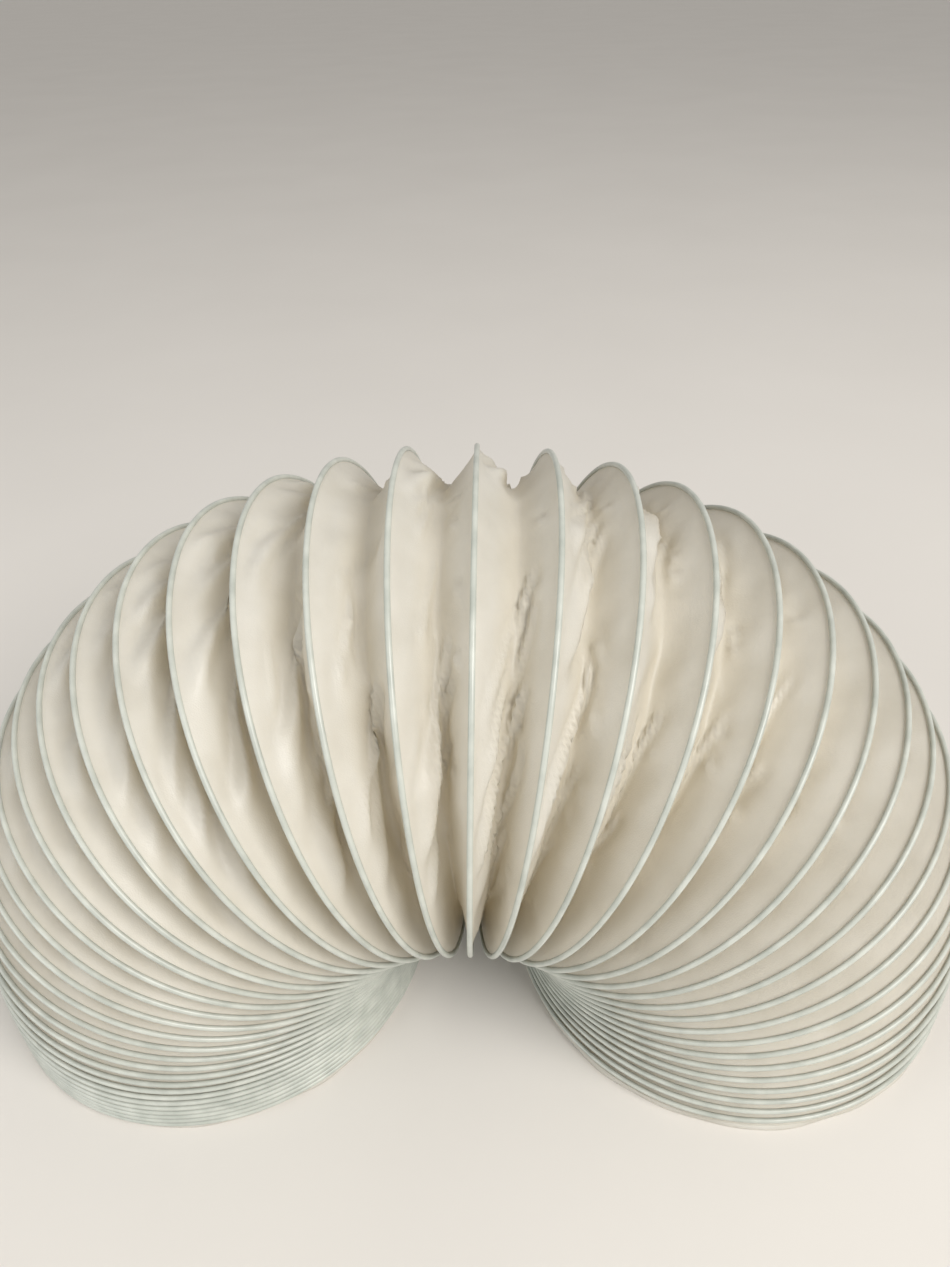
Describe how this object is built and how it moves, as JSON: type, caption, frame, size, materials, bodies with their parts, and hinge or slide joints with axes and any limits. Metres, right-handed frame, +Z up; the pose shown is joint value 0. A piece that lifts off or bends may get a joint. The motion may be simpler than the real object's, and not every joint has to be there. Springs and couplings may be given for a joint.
{
  "type": "exhaust hose",
  "caption": "Flexible exhaust duct of pleated film on a spring wire helix, bent into an arch that stands on its two open ends.",
  "frame": {"origin": "on the floor, midway between the two open ends", "axes": "+X from the left end to the right end, +Y from front to back, +Z up"},
  "size_m": [0.3344, 0.15, 0.1902],
  "materials": {
    "film": "satin",
    "wire": "drawn"
  },
  "bodies": {
    "root": {"film": "film", "wire": "wire"}
  },
  "joints": []
}
